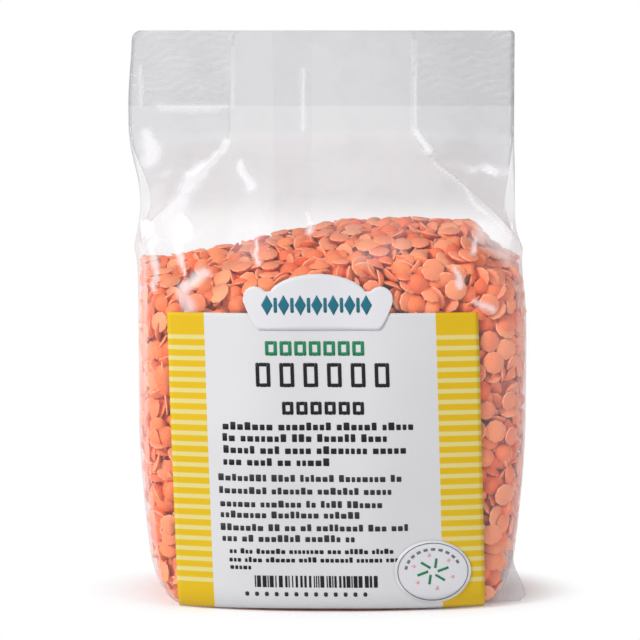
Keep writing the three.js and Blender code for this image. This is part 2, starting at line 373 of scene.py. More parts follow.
def piece(name, points, faces, material, slot, *nodes):
    """A smooth mesh that rides on the bag and stands for some of its CAD nodes."""
    mesh = bpy.data.meshes.new(name)
    mesh.from_pydata(points.tolist(), [], faces)
    mesh.polygons.foreach_set("use_smooth", [True] * len(mesh.polygons))
    mesh.materials.append(material)
    made = bpy.data.objects.new(name, mesh)
    bpy.context.scene.collection.objects.link(made)
    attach(made, root)
    if nodes:
        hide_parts(*nodes)
    return made


class Value:
    """A socket whose maths can be written as a Python expression."""

    def __init__(self, nodes, socket):
        self.nodes, self.socket = nodes, socket

    def maths(self, operation, *others):
        terms = dict(enumerate((self, *others)))
        return self.nodes.add("ShaderNodeMath", {"operation": operation}, terms)

    def __add__(self, other):
        return self.maths("ADD", other)

    __radd__ = __add__

    def __mul__(self, other):
        return self.maths("MULTIPLY", other)

    __rmul__ = __mul__

    def __sub__(self, other):
        return self.maths("SUBTRACT", other)

    def __rsub__(self, other):
        return self.nodes.add("ShaderNodeMath", {"operation": "SUBTRACT"}, {0: other, 1: self})

    def __truediv__(self, other):
        return self.maths("DIVIDE", other)

    def __pow__(self, other):
        return self.maths("POWER", other)

    def __gt__(self, other):
        return self.maths("GREATER_THAN", other)

    def __lt__(self, other):
        return self.maths("LESS_THAN", other)

    def rise(self, low, high):
        """0 below low and 1 above high, smooth between."""
        return self.nodes.add("ShaderNodeMapRange", {"interpolation_type": "SMOOTHSTEP"},
                              {"Value": self, "From Min": low, "From Max": high})


class Nodes:
    """A node tree that is filled one node at a time."""

    def __init__(self, tree):
        self.tree = tree
        tree.nodes.clear()

    def add(self, kind, settings=None, sockets=None, out=0):
        """A node: its settings first, then the values or links of its sockets. Gives one output."""
        node = self.tree.nodes.new(kind)
        for name, value in (settings or {}).items():
            setattr(node, name, value)
        for name, value in (sockets or {}).items():
            if isinstance(value, Value):
                self.tree.links.new(value.socket, node.inputs[name])
            else:
                node.inputs[name].default_value = value
        return Value(self, node.outputs[out]) if node.outputs else node

    def noise(self, place, scale, detail=3, roughness=0.5):
        return self.add("ShaderNodeTexNoise", {}, {
            "Vector": place, "Scale": scale, "Detail": detail, "Roughness": roughness})

    def mix(self, factor, first, second):
        """A colour between two colours."""
        return self.add("ShaderNodeMix", {"data_type": "RGBA"}, {0: factor, 6: first, 7: second}, out=2)

    def bump(self, height, distance):
        return self.add("ShaderNodeBump", {}, {"Height": height, "Distance": distance})


def material(name):
    made = bpy.data.materials.new(name)
    made.use_nodes = True
    return made, Nodes(made.node_tree)


def film_material():
    """Clear film: it mirrors a little, more where it is seen edge on. Slack film has a grey haze.
    Its creases have painted highlights, white haze where they would catch the lights. The haze near
    the side edges is a painted reflection, and the haze that thickens to the right is painted shade."""
    made, nodes = material("clear_film")
    place = nodes.add("ShaderNodeTexCoord", {}, {}, out=3)
    across, height = (nodes.add("ShaderNodeSeparateXYZ", {}, {0: place}, out=i) for i in (0, 2))
    panel, slack, painted_shine = (nodes.add("ShaderNodeAttribute", {"attribute_name": name}, {}, out=2)
                           for name in ("panel", "slack", "painted_shine"))
    scuffs = nodes.noise(place, 90, 4, 0.6)
    wrinkles = nodes.noise(place, 260, 2)
    normal = nodes.bump(scuffs + wrinkles * 0.35, 0.00035)
    edge_on = nodes.add("ShaderNodeLayerWeight", {}, {"Blend": 0.5, "Normal": normal}, out=1)
    mirror = (edge_on**4 * 0.3 + 0.05) * (0.5 + 0.5 * panel)
    clear = nodes.add("ShaderNodeBsdfTransparent", {}, {"Color": (0.985, 0.984, 0.987, 1)})
    gloss = nodes.add("ShaderNodeBsdfGlossy", {}, {
        "Color": (1, 1, 1, 1), "Roughness": 0.17, "Normal": normal})
    sealed = height.rise((seal_bottom - 0.3) * MM, (seal_bottom + 0.3) * MM)
    # Painted reflection: a pinkish veil of haze near the side edges, where the film would mirror the lights
    beside = across.rise(0.030, 0.038) + (across * -1).rise(0.035, 0.040)
    streaks = scuffs.rise(0.45, 0.75)
    # Painted shade: the slack film's grey haze thickens towards the right, away from the key light
    painted_shade_right = 1 + 0.45 * across.rise(0, 0.035)
    slack_milk_and_painted_shade = slack * painted_shade_right * (0.15 + streaks * 0.04 + sealed * 0.055)
    milk_and_painted_light = 0.012 + panel * ((1 - slack) * (streaks * 0.035 + beside * 0.09) + slack_milk_and_painted_shade)
    milk_and_painted_light = milk_and_painted_light + (1 - panel).maths("MAXIMUM", 0) * (1 - slack) * edge_on**2.2 * 0.5
    # Painted highlights: where the shine attribute is high, the film turns to near-white haze
    painted_glare = painted_shine * 0.85
    grey = nodes.mix(slack, (0.72, 0.66, 0.68, 1), (0.27, 0.265, 0.285, 1))
    haze = nodes.add("ShaderNodeBsdfPrincipled", {}, {
        "Base Color": nodes.mix(painted_glare / (painted_glare + milk_and_painted_light), grey, (0.88, 0.87, 0.9, 1)), "Roughness": 0.4})
    film = nodes.add("ShaderNodeMixShader", {}, {0: mirror, 1: clear, 2: gloss})
    both = nodes.add("ShaderNodeMixShader", {}, {0: painted_glare + milk_and_painted_light * (1 - painted_glare), 1: film, 2: haze})
    nodes.add("ShaderNodeOutputMaterial", {}, {"Surface": both})
    return made


clear_film = film_material()
body = joined_rings(film_body())
ear = flap(24, 14, ear_outline, ear_y, 0.3)
seam = flap(150, 8, seam_outline, seam_y, 0.12)
film = piece("film", *join([body, ear, seam]), clear_film, "film", "bag")

# What the film's finish reads at each vertex. Panel is 1 on the front and back and 0 on the gussets.
# Slack rises where the film hangs free over the lentils. Shine is the painted highlights of the front, the
# gleams.
body_size = len(body[0])
ear_end = body_size + len(ear[0])
ring_size = 2 * (panel_steps + 1) + 2 * (gusset_steps - 1)
in_ring = np.arange(body_size) % ring_size
on_front = in_ring <= panel_steps
on_back = np.abs(in_ring - (1.5 * panel_steps + gusset_steps)) <= panel_steps / 2
panel, slack, painted_shine = np.zeros((3, len(film.data.vertices)))
panel[:body_size] = on_front | on_back
panel[body_size:ear_end] = 0.3 + 2.3 * ease(ear[0][:, 0], 32, 38)
panel[ear_end:] = -0.9  # the seam lies flat against the back and adds hardly any mirror or haze
slack[:body_size] = ease(body[0][:, 2], 76, 87)
slack[body_size:ear_end] = 0.35
slack[ear_end:] = 1
past_front = np.minimum(np.maximum(in_ring - panel_steps, 0), ring_size - in_ring)
painted_shine[:body_size] = painted_gleam(body[0][:, 0], body[0][:, 2])
# The painted highlights fade out round the corners onto the gussets
painted_shine[:body_size] *= 1 - ease(past_front, 0, 0.15 * gusset_steps)
for name, values in (("panel", panel), ("slack", slack), ("painted_shine", painted_shine)):
    film.data.attributes.new(name, "FLOAT", "POINT").data.foreach_set("value", values)

# The lentils. Red lentils are hulled and split, so each is half a lens: a flat face and a domed one,
# about 4.3 mm across. They were poured in loose and have settled against the film and on each other.

ball, spoke = 0.69, 1.55  # a lentil is felt as one ball in the middle and six around it
shell = 4.8  # the lentils that can be seen lie within this of the film
clearance = 0.3  # what each ball keeps from the film
lentil_volume = 12.6
room_pitch = 1.0


def heap_top(x, y):
    """The height of the poured heap: a crest right of the middle that falls to the film."""
    crest = 73.4 + 8.1 * ease(x, -42, 12) - 7.0 * ease(x, 28, 40)
    fall = 7.0 * np.clip(np.abs(y - 5) / 22, 0, 1) ** 1.6
    return crest - fall + 0.5 * np.sin(x / 3.7 + y / 5) * np.sin(y / 3.1 - x / 6)


def side_wall(edge, out, y, z):
    """How far out a gusset stands at a depth: out is 1 on the right and -1 on the left."""
    front, back = front_y(edge, z), back_y(edge, z)
    s = np.clip((y - front) / (back - front), 0, 1)
    return out * edge + side_reach(s, z)


def room_in_bag():
    """A grid of how deep each place lies under the film or the heap's top, and which way is in."""
    low, high = np.array([-45.0, -26.0, -2.0]), (45, 26, 92)
    steps = (np.arange(start, end, room_pitch) for start, end in zip(low, high))
    x, y, z = np.meshgrid(*steps, indexing="ij")
    walls = [
        y - front_y(x, z),
        back_y(x, z) - y,
        side_wall(right_edge(z), 1, y, z) - x,
        side_wall(left_edge(z), -1, y, z) + x,
        z - 0.3,
        heap_top(x, y) - z,
    ]
    depth = np.full(x.shape, 1e3)
    for wall in walls:
        slope = np.sqrt(sum(part * part for part in np.gradient(wall, room_pitch)))
        depth = np.minimum(depth, wall / np.maximum(slope, 0.3))
    inward = np.stack(np.gradient(depth, room_pitch), axis=-1)
    return low, np.concatenate([depth[..., None], inward], axis=-1)


def unit(vectors):
    return vectors / np.maximum(np.linalg.norm(vectors, axis=1, keepdims=True), 1e-9)


def read_room(room, points):
    """The depth and the way in at each point."""
    low, field = room
    place = (points - low) / room_pitch
    cell = np.clip(np.floor(place).astype(int), 0, np.array(field.shape[:3]) - 2)
    part = np.clip(place - cell, 0, 1)
    found = 0
    for corner in np.ndindex(2, 2, 2):
        weight = np.prod(np.where(corner, part, 1 - part), axis=-1)
        i, j, k = (cell + corner).T
        found = found + weight[:, None] * field[i, j, k]
    return found[:, 0], unit(found[:, 1:])


def close_pairs(points, reach):
    """Every pair of points nearer than reach, found in a grid of cells that size."""
    cell = np.floor((points - points.min(axis=0)) / reach).astype(np.int64) + 1
    size = cell.max(axis=0) + 2
    key = (cell[:, 0] * size[1] + cell[:, 1]) * size[2] + cell[:, 2]
    order = np.argsort(key, kind="stable")
    ranked = key[order]
    pairs = []
    for step in np.ndindex(3, 3, 3):
        if step < (1, 1, 1):
            continue
        across, deep, up = np.array(step) - 1
        other = key + (across * size[1] + deep) * size[2] + up
        start = np.searchsorted(ranked, other, "left")
        count = np.searchsorted(ranked, other, "right") - start
        first = np.repeat(np.arange(len(points)), count)
        nth = np.arange(count.sum()) - np.repeat(np.cumsum(count) - count, count)
        second = order[np.repeat(start, count) + nth]
        keep = second > first if step == (1, 1, 1) else slice(None)
        pairs.append(np.stack([first[keep], second[keep]]))
    first, second = np.concatenate(pairs, axis=1)
    near = np.linalg.norm(points[first] - points[second], axis=1) < reach
    return first[near], second[near]


def total_for(owner, amounts):
    """The sum of each lentil's seven balls."""
    return np.stack([np.bincount(owner, amounts[:, k]) for k in range(3)], axis=1)


def settle(seed, fullness, rounds):
    """Lets loose lentils push each other apart until they lie side by side under the film."""
    rng = np.random.default_rng(seed)
    room = room_in_bag()
    low, field = room
    depth = field[..., 0]
    shell_volume = ((depth > 0) & (depth < shell)).sum() * room_pitch**3
    count = int(fullness * shell_volume / lentil_volume)
    cells = np.argwhere((depth > 0.8) & (depth < shell - 0.8))
    chosen = cells[rng.choice(len(cells), count)]
    centre = low + room_pitch * (chosen + rng.uniform(-0.5, 0.5, (count, 3)))
    inward = read_room(room, centre)[1]
    facing = unit(inward * rng.choice([-1, 1], (count, 1)) + rng.normal(0, 0.62, (count, 3)))
    across = unit(np.cross(facing, rng.normal(size=(count, 3))))
    angle = np.arange(6) * np.pi / 3
    spokes = np.vstack([[0, 0], spoke * np.c_[np.cos(angle), np.sin(angle)]])[None]
    owner = np.repeat(np.arange(count), 7)
    for turn in range(rounds):
        beside = np.cross(facing, across)
        offset = (spokes[..., :1] * across[:, None] + spokes[..., 1:] * beside[:, None]).reshape(-1, 3)
        balls = centre[owner] + offset
        if turn % 5 == 0:
            first, second = close_pairs(balls, 2 * ball + 0.5)
            apart = owner[first] != owner[second]
            first, second = first[apart], second[apart]
        gap = balls[first] - balls[second]
        span = np.maximum(np.linalg.norm(gap, axis=1), 1e-6)
        push = (np.maximum(ball / span - 0.5, 0))[:, None] * gap
        force = np.stack([np.bincount(first, push[:, k], len(balls))
                          - np.bincount(second, push[:, k], len(balls)) for k in range(3)], axis=1)
        depth, inward = read_room(room, balls)
        from_film = 1.6 * np.maximum(ball + clearance - depth, 0)
        towards_film = np.maximum(depth - shell + ball, 0)
        force += inward * (from_film - towards_film)[:, None]
        eagerness = blend(0.32, 0.08, turn / rounds)
        centre = centre + eagerness * total_for(owner, force)
        spin = np.clip(eagerness * total_for(owner, np.cross(offset, force)) / spoke**2, -0.25, 0.25)
        facing = unit(facing + np.cross(spin, facing))
        across = across + np.cross(spin, across)
        across = unit(across - facing * np.sum(facing * across, axis=1, keepdims=True))
    rims = centre[owner] + 1.5 * offset
    depth, inward = read_room(room, rims)
    centre = centre + total_for(owner, inward * np.maximum(clearance / 2 - depth, 0)[:, None])
    return centre, facing


def lentil_tree():
    """Geometry Nodes that set one half lens on every point, turned to the point's facing."""
    tree = bpy.data.node_groups.new("scatter_lentils", "GeometryNodeTree")
    nodes = Nodes(tree)
    sockets = [
        ("Points", "NodeSocketGeometry"),
        ("Width", "NodeSocketFloat"),
        ("Thickness", "NodeSocketFloat"),
        ("Chip", "NodeSocketFloat"),
        ("Seed", "NodeSocketInt"),
        ("Finish", "NodeSocketMaterial"),
    ]
    for name, kind in sockets:
        tree.interface.new_socket(name, in_out="INPUT", socket_type=kind)
    tree.interface.new_socket("Lentils", in_out="OUTPUT", socket_type="NodeSocketGeometry")
    given = {name: nodes.add("NodeGroupInput", out=i) for i, (name, _) in enumerate(sockets)}

    cone = nodes.add("GeometryNodeMeshCone", {"fill_type": "NGON"}, {
        "Vertices": 10, "Side Segments": 5, "Radius Top": 0.0, "Radius Bottom": 1.0, "Depth": 1.0})
    place = nodes.add("GeometryNodeInputPosition")
    x, y, z = (nodes.add("ShaderNodeSeparateXYZ", {}, {0: place}, out=i) for i in range(3))
    arc = ((z - 0.2) * 1.25).maths("MAXIMUM", 0) * (math.pi / 2)
    above_cut = z > 0.1
    radius = arc.maths("COSINE")
    dome = above_cut * (0.14 + 0.86 * (1 - radius * radius))
    reach = (radius - 0.12 * (1 - above_cut)) / (1 - z).maths("MAXIMUM", 0.001)
    rounded = nodes.add("ShaderNodeCombineXYZ", {}, {
        0: (x * reach).maths("MINIMUM", given["Chip"]), 1: y * reach, 2: dome})
    marked = nodes.add("GeometryNodeStoreNamedAttribute", {"data_type": "FLOAT_VECTOR", "domain": "POINT"},
                       {"Geometry": cone, "Name": "own", "Value": rounded})
    sized = nodes.add("ShaderNodeCombineXYZ", {}, {
        0: given["Width"] * 0.5, 1: given["Width"] * 0.5, 2: given["Thickness"]})
    drop = nodes.add("ShaderNodeCombineXYZ", {}, {2: given["Thickness"] * -0.45})
    shaped = nodes.add("ShaderNodeVectorMath", {"operation": "MULTIPLY_ADD"},
                       {0: rounded, 1: sized, 2: drop})
    lens = nodes.add("GeometryNodeSetPosition", {}, {"Geometry": marked, "Position": shaped})

    facing = nodes.add("GeometryNodeInputNamedAttribute", {"data_type": "FLOAT_VECTOR"}, {"Name": "facing"})
    turned = nodes.add("FunctionNodeAlignRotationToVector", {"axis": "Z"}, {"Vector": facing})
    size = nodes.add("FunctionNodeRandomValue", {"data_type": "FLOAT_VECTOR"},
                     {0: (0.93, 0.93, 0.85), 1: (1.06, 1.06, 1.15), "Seed": given["Seed"]})
    spread = nodes.add("GeometryNodeInstanceOnPoints", {}, {
        "Points": given["Points"], "Instance": lens, "Rotation": turned, "Scale": size})
    tone = nodes.add("FunctionNodeRandomValue", {"data_type": "FLOAT"},
                     {2: 0.0, 3: 1.0, "Seed": given["Seed"] + 40}, out=1)
    toned = nodes.add("GeometryNodeStoreNamedAttribute", {"data_type": "FLOAT", "domain": "INSTANCE"},
                      {"Geometry": spread, "Name": "tone", "Value": tone})
    real = nodes.add("GeometryNodeRealizeInstances", {}, {"Geometry": toned})
    warp = nodes.add("ShaderNodeTexNoise", {}, {"Scale": 420.0, "Detail": 1.0}, out=1)
    offset = nodes.add("ShaderNodeVectorMath", {"operation": "MULTIPLY_ADD"},
                       {0: warp, 1: (0.0005,) * 3, 2: (-0.00025,) * 3})
    uneven = nodes.add("GeometryNodeSetPosition", {}, {"Geometry": real, "Offset": offset})
    smooth = nodes.add("GeometryNodeSetShadeSmooth", {}, {"Geometry": uneven})
    finished = nodes.add("GeometryNodeSetMaterial", {}, {
        "Geometry": smooth, "Material": given["Finish"]})
    nodes.add("NodeGroupOutput", {}, {"Lentils": finished})
    return tree


def lentil_material(name, pale, deep):
    """Dry split lentil: salmon orange, paler on the cut face, with a painted highlight round the rim."""
    made, nodes = material(name)
    tone = nodes.add("ShaderNodeAttribute", {"attribute_name": "tone"}, {}, out=2)
    own = nodes.add("ShaderNodeAttribute", {"attribute_name": "own"}, {}, out=1)
    x, y, z = (nodes.add("ShaderNodeSeparateXYZ", {}, {0: own}, out=i) for i in range(3))
    place = nodes.add("ShaderNodeTexCoord", {}, {}, out=3)
    mottle = nodes.noise(place, 1500, 3)
    grain = nodes.noise(place, 5200, 2)
    across = (x * x + y * y) ** 0.5
    # Painted highlight: a lighter ring where the flat face meets the dome, as if its edge caught the light
    painted_rim_highlight = across.rise(0.86, 0.92) * (1 - z.rise(0.1, 0.24))
    cut = 1 - z.rise(0.01, 0.1)
    shade = tone * 0.75 + mottle * 0.5 - 0.12
    body_colour = nodes.mix(shade, deep, pale)
    cut_and_rim_highlight_colour = nodes.mix(cut * 0.25 + painted_rim_highlight * 0.7, body_colour, (0.97, 0.5, 0.3, 1))
    normal = nodes.bump(grain * 0.5 + mottle, 0.00012)
    skin = nodes.add("ShaderNodeBsdfPrincipled", {}, {
        "Base Color": cut_and_rim_highlight_colour, "Roughness": 0.42 + grain * 0.2, "Normal": normal,
        "Specular IOR Level": 0.3, "Subsurface Weight": 0.08, "Subsurface Scale": 1.0,
        "Subsurface Radius": (0.0016, 0.0006, 0.0003)})
    nodes.add("ShaderNodeOutputMaterial", {}, {"Surface": skin})
    return made


def scatter(name, points, facing, tree, sockets):
    """Runs the tree on some points and keeps what it makes as a plain mesh."""
    mesh = bpy.data.meshes.new(name + "_points")
    mesh.from_pydata((points * MM).tolist(), [], [])
    mesh.attributes.new("facing", "FLOAT_VECTOR", "POINT").data.foreach_set("vector", facing.ravel())
    source = bpy.data.objects.new(name, mesh)
    bpy.context.scene.collection.objects.link(source)
    modifier = source.modifiers.new("scatter", "NODES")
    modifier.node_group = tree
    for item in tree.interface.items_tree:
        if item.name in sockets:
            modifier[item.identifier] = sockets[item.name]
    evaluated = source.evaluated_get(bpy.context.evaluated_depsgraph_get())
    result = bpy.data.meshes.new_from_object(evaluated)
    source.modifiers.clear()
    source.data = result
    result.name = name
    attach(source, root)
    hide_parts("bag")


centre, facing = settle(seed=5, fullness=0.55, rounds=70)
tree = lentil_tree()
kind = np.random.default_rng(11).choice(4, len(centre), p=(0.3, 0.3, 0.28, 0.12))
usual = lentil_material("lentil_skin", (0.92, 0.215, 0.068, 1), (0.86, 0.13, 0.032, 1))
dull = lentil_material("lentil_skin_pale", (0.96, 0.29, 0.11, 1), (0.92, 0.19, 0.055, 1))
kinds = [  # name, width, thickness, where the edge is chipped off, finish
    ("lentils_plump", 4.55, 1.6, 1.0, usual),
    ("lentils_thin", 4.75, 1.25, 1.0, dull),
    ("lentils_small", 4.2, 1.45, 1.0, usual),
    ("lentils_chipped", 4.6, 1.4, 0.55, dull),
]
for i, (name, width, thickness, chip, finish) in enumerate(kinds):
    scatter(name, centre[kind == i], facing[kind == i], tree, {
        "Width": width * MM, "Thickness": thickness * MM, "Chip": chip, "Seed": i, "Finish": finish})


def core_rings():
    """The heap below the lentils that can be seen: rings up the sides, then in over the top."""
    angle = np.linspace(0, 2 * np.pi, 120, endpoint=False)
    inset, shoulder_level, squareness = shell - 1.0, 70, 0.45
    rings = []
    levels = [(0.0, f) for f in (0.05, 0.5, 0.9)] + [(t, 1.0) for t in np.linspace(0, 1, 40)]
    levels += [(1.0, f) for f in np.linspace(0.95, 0.02, 22)]
    for t, full in levels:
        z = blend(inset, shoulder_level, t)
        left, right = left_edge(z) + inset, right_edge(z) - inset
        front, back = front_y(0, z) + inset, back_y(0, z) - inset
        x = np.sign(np.cos(angle)) * np.abs(np.cos(angle)) ** squareness
        y = np.sign(np.sin(angle)) * np.abs(np.sin(angle)) ** squareness
        x = (left + right) / 2 + full * x * (right - left) / 2
        y = (front + back) / 2 + full * y * (back - front) / 2
        top = heap_top(x, y) - inset
        rings.append(np.stack([x, y, inset + (top - inset) * t], axis=-1))
    return np.array(rings)


# The heap's surface is a deep orange, darker than any lentil: painted shade in the gaps between the lentils
# that can be seen
def shade_core_material():
    made, nodes = material("lentil_core_painted_shade")
    place = nodes.add("ShaderNodeTexCoord", {}, {}, out=3)
    lumpy = nodes.noise(place, 420, 3)
    skin = nodes.add("ShaderNodeBsdfPrincipled", {}, {
        "Base Color": nodes.mix(lumpy, (0.22, 0.025, 0.008, 1), (0.42, 0.07, 0.02, 1)),
        "Roughness": 0.6, "Normal": nodes.bump(lumpy, 0.001)})
    nodes.add("ShaderNodeOutputMaterial", {}, {"Surface": skin})
    return made


piece("lentil_core_painted_shade", *join([joined_rings(core_rings())]), shade_core_material(), "lentils", "bag")

# The label. Satin white paper with a striped yellow band down each side, stuck on the front a
# little askew. Open marks, runs of small blocks and a row of bars are printed on it in three inks.

label_half = 32.2
label_bottom, label_top = 0.9, 62.8
label_centre, label_lean = -2.1, 2.0
left_band, right_band = 7.7, 8.9
top_field, stripe_pitch, stripe_count = 4.6, 2.22, 24
label_lift, label_thickness = 0.24, 0.14
print_lift, ink_thickness = 0.4, 0.03
sharp = 0.01  # the rounding of a printed bar's corners


def label_place(u, z, lift):
    """A point over the front, u across the label and z up the bag, lifted off the film."""
    def at(du, dz):
        x = u + du + label_lean * (1 - (z + dz) / label_top) + label_centre
        return np.stack([x, front_y(x, z + dz), z + dz + 0 * x], axis=-1)
    step = 0.05
    normal = np.cross(at(step, 0) - at(-step, 0), at(0, step) - at(0, -step))
    normal /= np.linalg.norm(normal, axis=-1, keepdims=True)
    return at(0, 0) + np.asarray(lift)[..., None] * normal


def paper(u, low, high, rows, lift, thickness):
    """A sheet on the label's curve: columns at u, each from its low to its high edge."""
    u = np.asarray(u)[:, None]
    low, high = np.broadcast_to(low, len(u))[:, None], np.broadcast_to(high, len(u))[:, None]
    z = blend(low, high, np.linspace(0, 1, rows + 1)[None, :])
    u = np.broadcast_to(u, z.shape)
    outer = label_place(u, z, np.full(z.shape, lift + thickness))
    inner = label_place(u, z, np.full(z.shape, lift))
    points, faces = joined_rings(np.concatenate([outer, inner[:, ::-1]], axis=1))
    side = np.stack([u, z], axis=-1)
    flat = np.concatenate([side, side[:, ::-1]], axis=1).reshape(-1, 2)
    return points, [face[::-1] for face in faces], flat


def unwrap(made, flat):
    """Lays millimetres across and up the label in the piece's own UV map, over 100."""
    corner = np.zeros(len(made.data.loops), int)
    made.data.loops.foreach_get("vertex_index", corner)
    made.data.uv_layers.new(name="sheet").data.foreach_set("uv", (flat[corner] / 100).ravel())


def label_material():
    """White paper with printed stripes: solid at the top and the foot, pale and deep bands between."""
    made, nodes = material("label_paper")
    where = nodes.add("ShaderNodeUVMap", {"uv_map": "sheet"}, {})
    u, z = (nodes.add("ShaderNodeSeparateXYZ", {}, {0: where}, out=i) * 100 for i in range(2))
    place = nodes.add("ShaderNodeTexCoord", {}, {}, out=3)
    fibre = nodes.noise(place, 2600, 3)
    cloud = nodes.noise(place, 60, 2)
    band = 1 - (u > left_band - label_half) * (u < label_half - right_band)
    down = (label_top - top_field) - z
    phase = (down / stripe_pitch).maths("FRACT")
    pale = phase.rise(0.0, 0.05) * (1 - phase.rise(0.41, 0.46))
    pale = pale * (down > 0) * (down < stripe_pitch * stripe_count)
    yellow = nodes.mix(cloud, (0.585, 0.37, 0.006, 1), (0.64, 0.415, 0.01, 1))
    striped = nodes.mix(pale, yellow, (0.62, 0.54, 0.21, 1))
    white = nodes.mix(cloud, (0.57, 0.565, 0.58, 1), (0.6, 0.595, 0.61, 1))
    colour = nodes.mix(band, white, striped)
    skin = nodes.add("ShaderNodeBsdfPrincipled", {}, {
        "Base Color": colour, "Roughness": 0.42 + fibre * 0.15, "Normal": nodes.bump(fibre, 0.00003),
        "Specular IOR Level": 0.2})
    nodes.add("ShaderNodeOutputMaterial", {}, {"Surface": skin})
    return made


label_columns = np.linspace(-label_half, label_half, 76)
label_foot = label_bottom - 0.55 * (label_columns / label_half) ** 2
points, faces, flat = paper(label_columns, label_foot, label_top, 80, label_lift, label_thickness)
label = piece("label_sheet", points * MM, faces, label_material(), "label_paper", "label")
unwrap(label, flat)


def ink_material(name, colour, second):
    """Printing ink, a little uneven, on the paper below it."""
    made, nodes = material(name)
    place = nodes.add("ShaderNodeTexCoord", {}, {}, out=3)
    speckle = nodes.noise(place, 3400, 3)
    skin = nodes.add("ShaderNodeBsdfPrincipled", {}, {
        "Base Color": nodes.mix(speckle, colour, second), "Roughness": 0.4 + speckle * 0.2,
        "Specular IOR Level": 0.2})
    nodes.add("ShaderNodeOutputMaterial", {}, {"Surface": skin})
    return made


def block(left, right, low, high, rounding=0.3, lift=print_lift):
    """A printed block with rounded corners."""
    reach = min(rounding, (right - left) / 2, (high - low) / 2)
    ends = reach * (1 - np.cos(np.linspace(0, np.pi / 2, 4)))
    middle = np.linspace(left + reach, right - reach, 2 + int((right - left) / 1.5))
    u = np.concatenate([left + ends[:-1], middle, (right - ends[:-1])[::-1]])
    from_end = np.minimum(np.minimum(u - left, right - u), reach)
    drop = reach - np.sqrt(np.maximum(reach**2 - (reach - from_end) ** 2, 0))
    return paper(u, low + drop, high - drop, 1 + int((high - low) / 1.2), lift, ink_thickness)[:2]


def frame_mark(left, right, low, high, line):
    """A printed mark with an open middle: four blocks."""
    return [
        block(left, left + line, low, high),
        block(right - line, right, low, high),
        block(left + line, right - line, low, low + line, sharp),
        block(left + line, right - line, high - line, high, sharp),
    ]


def frame_row(left, right, low, high, count, gap, line):
    """A row of open marks that fills a width."""
    width = (right - left + gap) / count
    starts = left + width * np.arange(count)
    return [part for at in starts for part in frame_mark(at, at + width - gap, low, high, line)]


def block_runs(rng, left, right, middle, height):
    """A line of small blocks in short runs, some blocks taller than the rest."""
    blocks, at, left_in_run = [], left, 0
    width, gap = 0.62 * height, 0.24 * height
    while at + width < right:
        if left_in_run == 0:
            left_in_run = rng.integers(2, 9)
        rise = height * (0.5 if rng.random() < 0.3 else 0.22)
        step = width * rng.uniform(0.75, 1.25)
        blocks.append(block(at, at + step, middle - height / 2, middle + rise, 0.15))
        left_in_run -= 1
        at += step + gap * (1 if left_in_run else 3.2)
    return blocks


rng = np.random.default_rng(4)
# Each line of small blocks: where it starts, where it ends and its height up the label
heavy_lines = [(-21.3, 19.1, 39.5), (-21.4, 12.8, 37.1), (-21.3, 18.5, 34.6), (-21.4, 0.8, 32.1)]
plain_lines = [(-22.6, 16.3, 28.7), (-22.5, 14.1, 26.0), (-22.4, 11.1, 23.2), (-22.4, 7.1, 20.9),
               (-22.5, 17.3, 18.2), (-22.2, 6.2, 15.9)]
small_lines = [(-20.8, 14.0, 13.2), (-20.9, 14.6, 11.4), (-20.8, -16.1, 9.8)]
black = frame_row(-14.1, 13.4, 47.6, 52.6, 6, 1.9, 0.75) + frame_row(-8.9, 8.0, 41.9, 44.6, 6, 0.6, 0.72)
for left, right, middle in heavy_lines:
    black += block_runs(rng, left, right, middle, 1.6)
for left, right, middle in small_lines:
    black += block_runs(rng, left, right, middle, 1.1)
at, bars_end = -15.8, 9.6
while at < bars_end:
    width = rng.choice((0.24, 0.48, 0.8))
    black.append(block(at, at + width, 5.5, 8.0, sharp))
    at += width + rng.choice((0.22, 0.36, 0.5))
grey = []
for left, right, middle in plain_lines:
    grey += block_runs(rng, left, right, middle, 1.45)
grey += [block(at, at + 0.8, 3.6, 4.5) for at in -17.9 + 2.05 * np.arange(13)]
green = frame_row(-12.0, 8.4, 54.1, 57.1, 7, 0.55, 0.7)
black_ink = ink_material("black_ink", (0.004, 0.004, 0.005, 1), (0.012, 0.012, 0.014, 1))
grey_ink = ink_material("grey_ink", (0.012, 0.012, 0.015, 1), (0.035, 0.035, 0.04, 1))
green_ink = ink_material("green_ink", (0.008, 0.15, 0.065, 1), (0.02, 0.2, 0.09, 1))
piece("print_black", *join(black), black_ink, "label_paper")
piece("print_grey", *join(grey), grey_ink, "label_paper")
piece("print_green", *join(green), green_ink, "label_paper")

# The badge. A second, whiter paper with a scalloped top, stuck half over the label's upper edge.
# It carries a row of teal lozenges and bars.

badge_u = -2.9 - label_centre
badge_bottom, badge_lobe = 59.4, 65.8
badge_foot_half, badge_half = 12.4, 15.4
badge_lift = 0.46
ornament_low, ornament_high, ornament_shift = 62.4, 66.5, -0.3


def badge_top(u):
    """A wide arch with a smaller round lobe at each side."""
    away = np.abs(u)
    arch = 5.1 * np.sqrt(np.maximum(0, 1 - (u / 10.2) ** 2))
    lobe = np.sqrt(np.maximum(0, 2.5**2 - (away - 12.9) ** 2))
    return badge_lobe + np.maximum(np.maximum(arch, lobe), np.where(away < 12.9, 1.5, 0))


def badge_foot(u):
    """Flat in the middle, then rising to the lobes."""
    outside = np.clip((np.abs(u) - badge_foot_half) / (badge_half - badge_foot_half), 0, 1)
    return blend(badge_bottom, badge_lobe - 0.6, outside**1.4)


def badge_material():
    made, nodes = material("badge_paper")
    place = nodes.add("ShaderNodeTexCoord", {}, {}, out=3)
    fibre = nodes.noise(place, 2600, 3)
    cloud = nodes.noise(place, 70, 2)
    skin = nodes.add("ShaderNodeBsdfPrincipled", {}, {
        "Base Color": nodes.mix(cloud, (0.60, 0.60, 0.625, 1), (0.63, 0.63, 0.655, 1)),
        "Roughness": 0.38 + fibre * 0.15, "Normal": nodes.bump(fibre, 0.00003), "Specular IOR Level": 0.2})
    nodes.add("ShaderNodeOutputMaterial", {}, {"Surface": skin})
    return made


